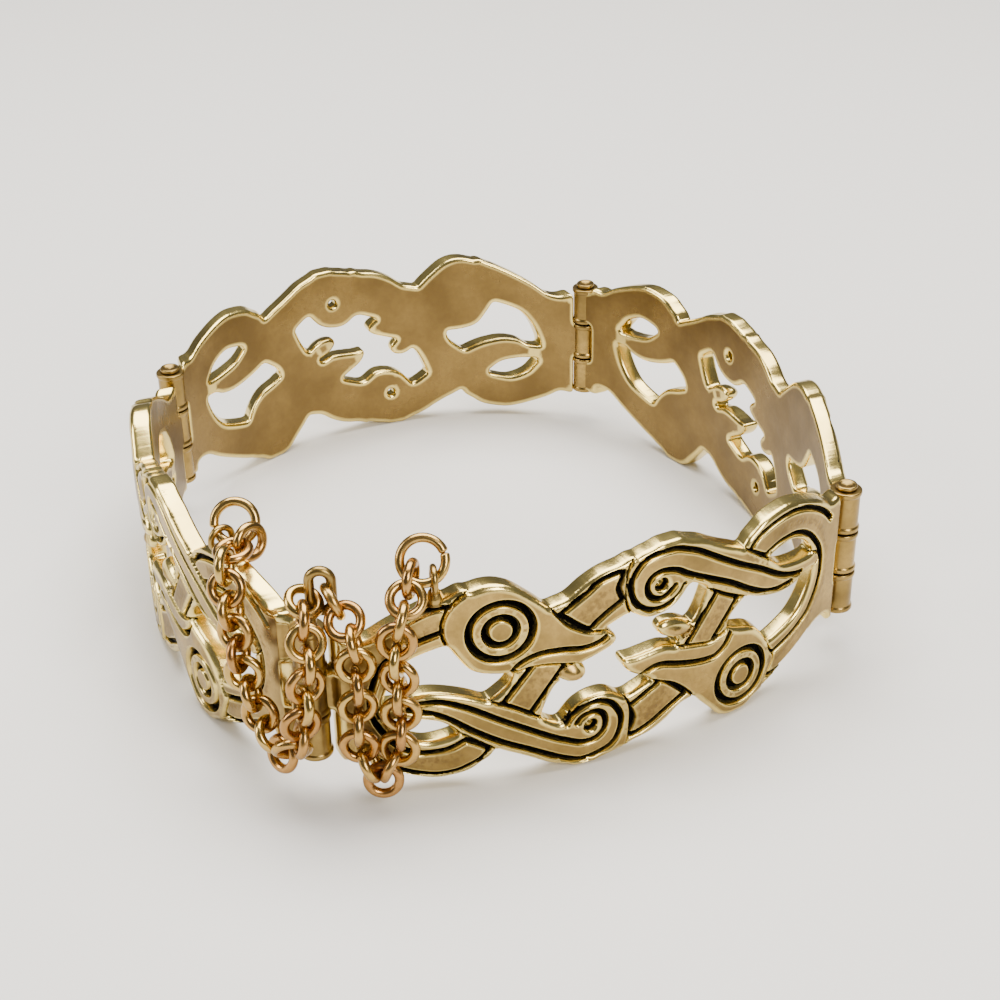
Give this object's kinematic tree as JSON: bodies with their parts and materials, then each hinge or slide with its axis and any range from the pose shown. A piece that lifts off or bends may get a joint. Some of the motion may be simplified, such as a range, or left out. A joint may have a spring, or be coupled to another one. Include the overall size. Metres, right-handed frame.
{
  "type": "arm ring",
  "caption": "Hinged arm ring of curved, pierced plaques with interlaced bird heads and spirals, closed by a loop-headed clasp pin on two short safety chains.",
  "frame": {"origin": "middle of the ring's footprint, at the level it lies on", "axes": "+Z along the arm that the ring goes round; the clasp with its chains is at the front left, towards -Y"},
  "size_m": [0.0597, 0.0665, 0.0207],
  "materials": {
    "bronze": "antique, dark in the grooves",
    "chain_bronze": "antique, coppery"
  },
  "bodies": {
    "front_right": {"plaque_front_right": "bronze", "clasp_pin": "bronze", "jump_ring_right": "chain_bronze", "chain_right": "chain_bronze", "hinge_pin_right": "bronze"},
    "back_right": {"plaque_back_right": "bronze", "hinge_pin_back": "bronze"},
    "back_left": {"plaque_back_left": "bronze", "hinge_pin_left": "bronze"},
    "front_left": {"plaque_front_left": "bronze", "jump_ring_left": "chain_bronze", "chain_left": "chain_bronze"}
  },
  "joints": [
    {"name": "right_hinge", "type": "hinge", "parent": "front_right", "child": "back_right", "pos_m": [0.02856, -0.01042, 0.0089], "axis": [0, 0, 1], "range_deg": [-11.5, 5.5]},
    {"name": "back_hinge", "type": "hinge", "parent": "back_right", "child": "back_left", "pos_m": [0.01, 0.03051, 0.0089], "axis": [0, 0, 1], "range_deg": [-6.5, 13]},
    {"name": "left_hinge", "type": "hinge", "parent": "back_left", "child": "front_left", "pos_m": [-0.02837, 0.01307, 0.0089], "axis": [0, 0, 1], "range_deg": [-13, 6.5]}
  ],
  "couplings": [
    {"joint": "back_hinge", "follows": "right_hinge", "ratio": -1.067},
    {"joint": "left_hinge", "follows": "right_hinge", "ratio": 1.08}
  ]
}
